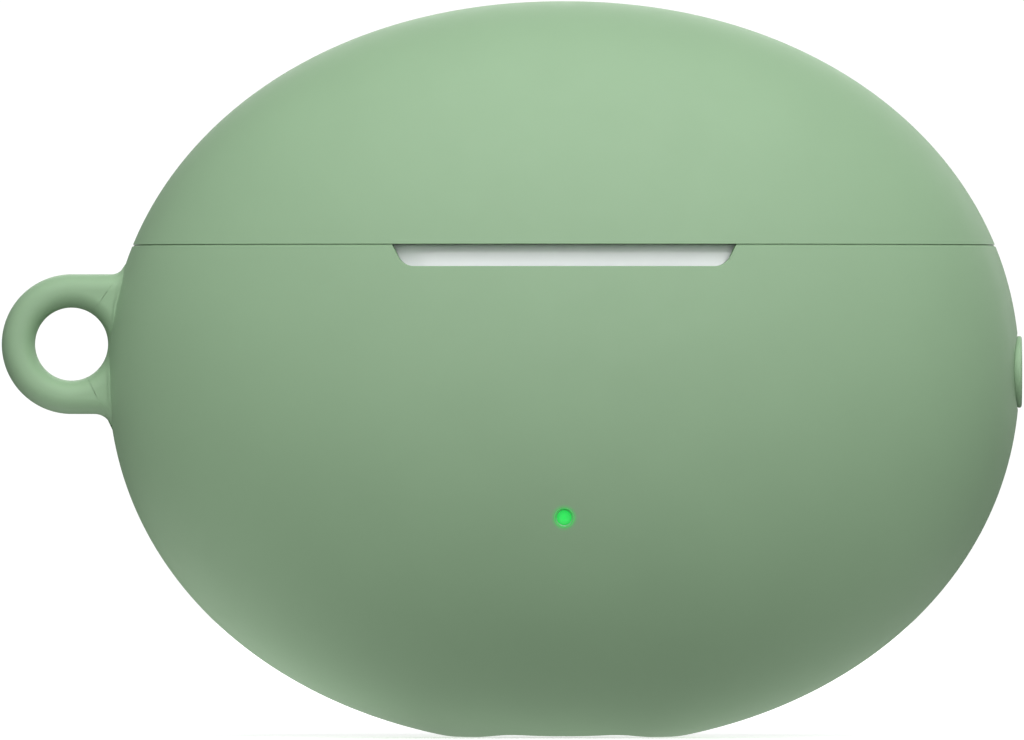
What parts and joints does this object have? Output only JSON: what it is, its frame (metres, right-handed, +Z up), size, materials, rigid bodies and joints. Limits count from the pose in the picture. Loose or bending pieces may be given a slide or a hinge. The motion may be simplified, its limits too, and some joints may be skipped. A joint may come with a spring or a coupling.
{
  "type": "wireless earbuds case",
  "caption": "Pebble-shaped charging case with a hinged lid and earbud pockets, in a two-piece silicone cover with a carry loop, charging port below.",
  "frame": {"origin": "centre of the charging-port opening, on the plane of the flat foot that the case stands on", "axes": "+Z up; the front with the status light faces -Y; +X to the right seen from the front, towards the function button; the carry loop is on -X"},
  "size_m": [0.0725, 0.0304, 0.0523],
  "materials": {
    "cover_silicone": "matte sage-green silicone",
    "white_gloss": "polished",
    "white_satin": "satin",
    "bumper_rubber": "matte",
    "hinge_steel": "satin",
    "screw_steel": "satin",
    "magnet_nickel": "nickel plated",
    "contact_gold": "gold plated",
    "spring_steel": "drawn",
    "board_green": "solder mask",
    "chip_black": "moulded",
    "switch_red": "moulded",
    "led_green": "lit green",
    "guide_clear": "clear, lit from behind",
    "usb_steel": "deep drawn",
    "tongue_black": "moulded",
    "cell_foil": "foil pouch",
    "foam_grey": "closed-cell foam",
    "lead_red": "insulated wire",
    "lead_black": "insulated wire"
  },
  "bodies": {
    "base": {"cover_base": "cover_silicone", "base_shell": "white_gloss", "cradle": "white_satin", "deck_bumpers": "bumper_rubber", "hinge_base_leaf": "hinge_steel", "hinge_pin": "hinge_steel", "hinge_spring": "hinge_steel", "hinge_base_screws": "screw_steel", "board_screws": "screw_steel", "base_magnet": "magnet_nickel", "earbud_magnet_left": "magnet_nickel", "earbud_magnet_right": "magnet_nickel", "contact_barrels_left": "contact_gold", "contact_barrels_right": "contact_gold", "contact_spring_left_front": "spring_steel", "contact_spring_left_rear": "spring_steel", "contact_spring_right_front": "spring_steel", "contact_spring_right_rear": "spring_steel", "main_board": "board_green", "contact_board_left": "board_green", "contact_board_right": "board_green", "button_board": "board_green", "board_chips": "chip_black", "lid_sensor": "chip_black", "switch_body": "chip_black", "status_led": "led_green", "light_guide": "guide_clear", "usb_shell": "usb_steel", "usb_tongue": "tongue_black", "battery_cell": "cell_foil", "battery_foam": "foam_grey", "battery_lead_plus": "lead_red", "battery_lead_minus": "lead_black"},
    "lid": {"cover_lid": "cover_silicone", "lid_shell": "white_gloss", "lid_liner": "white_satin", "hinge_lid_leaf": "hinge_steel", "hinge_lid_screws": "screw_steel", "lid_magnet": "magnet_nickel"},
    "button": {"function_button": "white_gloss", "switch_plunger": "switch_red", "cover_button_pad": "cover_silicone"},
    "contact_left_front": {"contact_pin_left_front": "contact_gold"},
    "contact_left_rear": {"contact_pin_left_rear": "contact_gold"},
    "contact_right_front": {"contact_pin_right_front": "contact_gold"},
    "contact_right_rear": {"contact_pin_right_rear": "contact_gold"}
  },
  "joints": [
    {"name": "lid_hinge", "type": "hinge", "parent": "base", "child": "lid", "pos_m": [0, 0.012, 0.035], "axis": [-1, 0, 0], "range_deg": [0, 95]},
    {"name": "button_press", "type": "slide", "parent": "base", "child": "button", "axis": [-1, 0, 0], "range_m": [0, 0.0003], "stiffness_N_per_m": 2500},
    {"name": "contact_left_front_press", "type": "slide", "parent": "base", "child": "contact_left_front", "axis": [0, 0, -1], "range_m": [0, 0.0006], "stiffness_N_per_m": 400, "deforming": ["contact_spring_left_front"]},
    {"name": "contact_left_rear_press", "type": "slide", "parent": "base", "child": "contact_left_rear", "axis": [0, 0, -1], "range_m": [0, 0.0006], "stiffness_N_per_m": 400, "deforming": ["contact_spring_left_rear"]},
    {"name": "contact_right_front_press", "type": "slide", "parent": "base", "child": "contact_right_front", "axis": [0, 0, -1], "range_m": [0, 0.0006], "stiffness_N_per_m": 400, "deforming": ["contact_spring_right_front"]},
    {"name": "contact_right_rear_press", "type": "slide", "parent": "base", "child": "contact_right_rear", "axis": [0, 0, -1], "range_m": [0, 0.0006], "stiffness_N_per_m": 400, "deforming": ["contact_spring_right_rear"]}
  ]
}
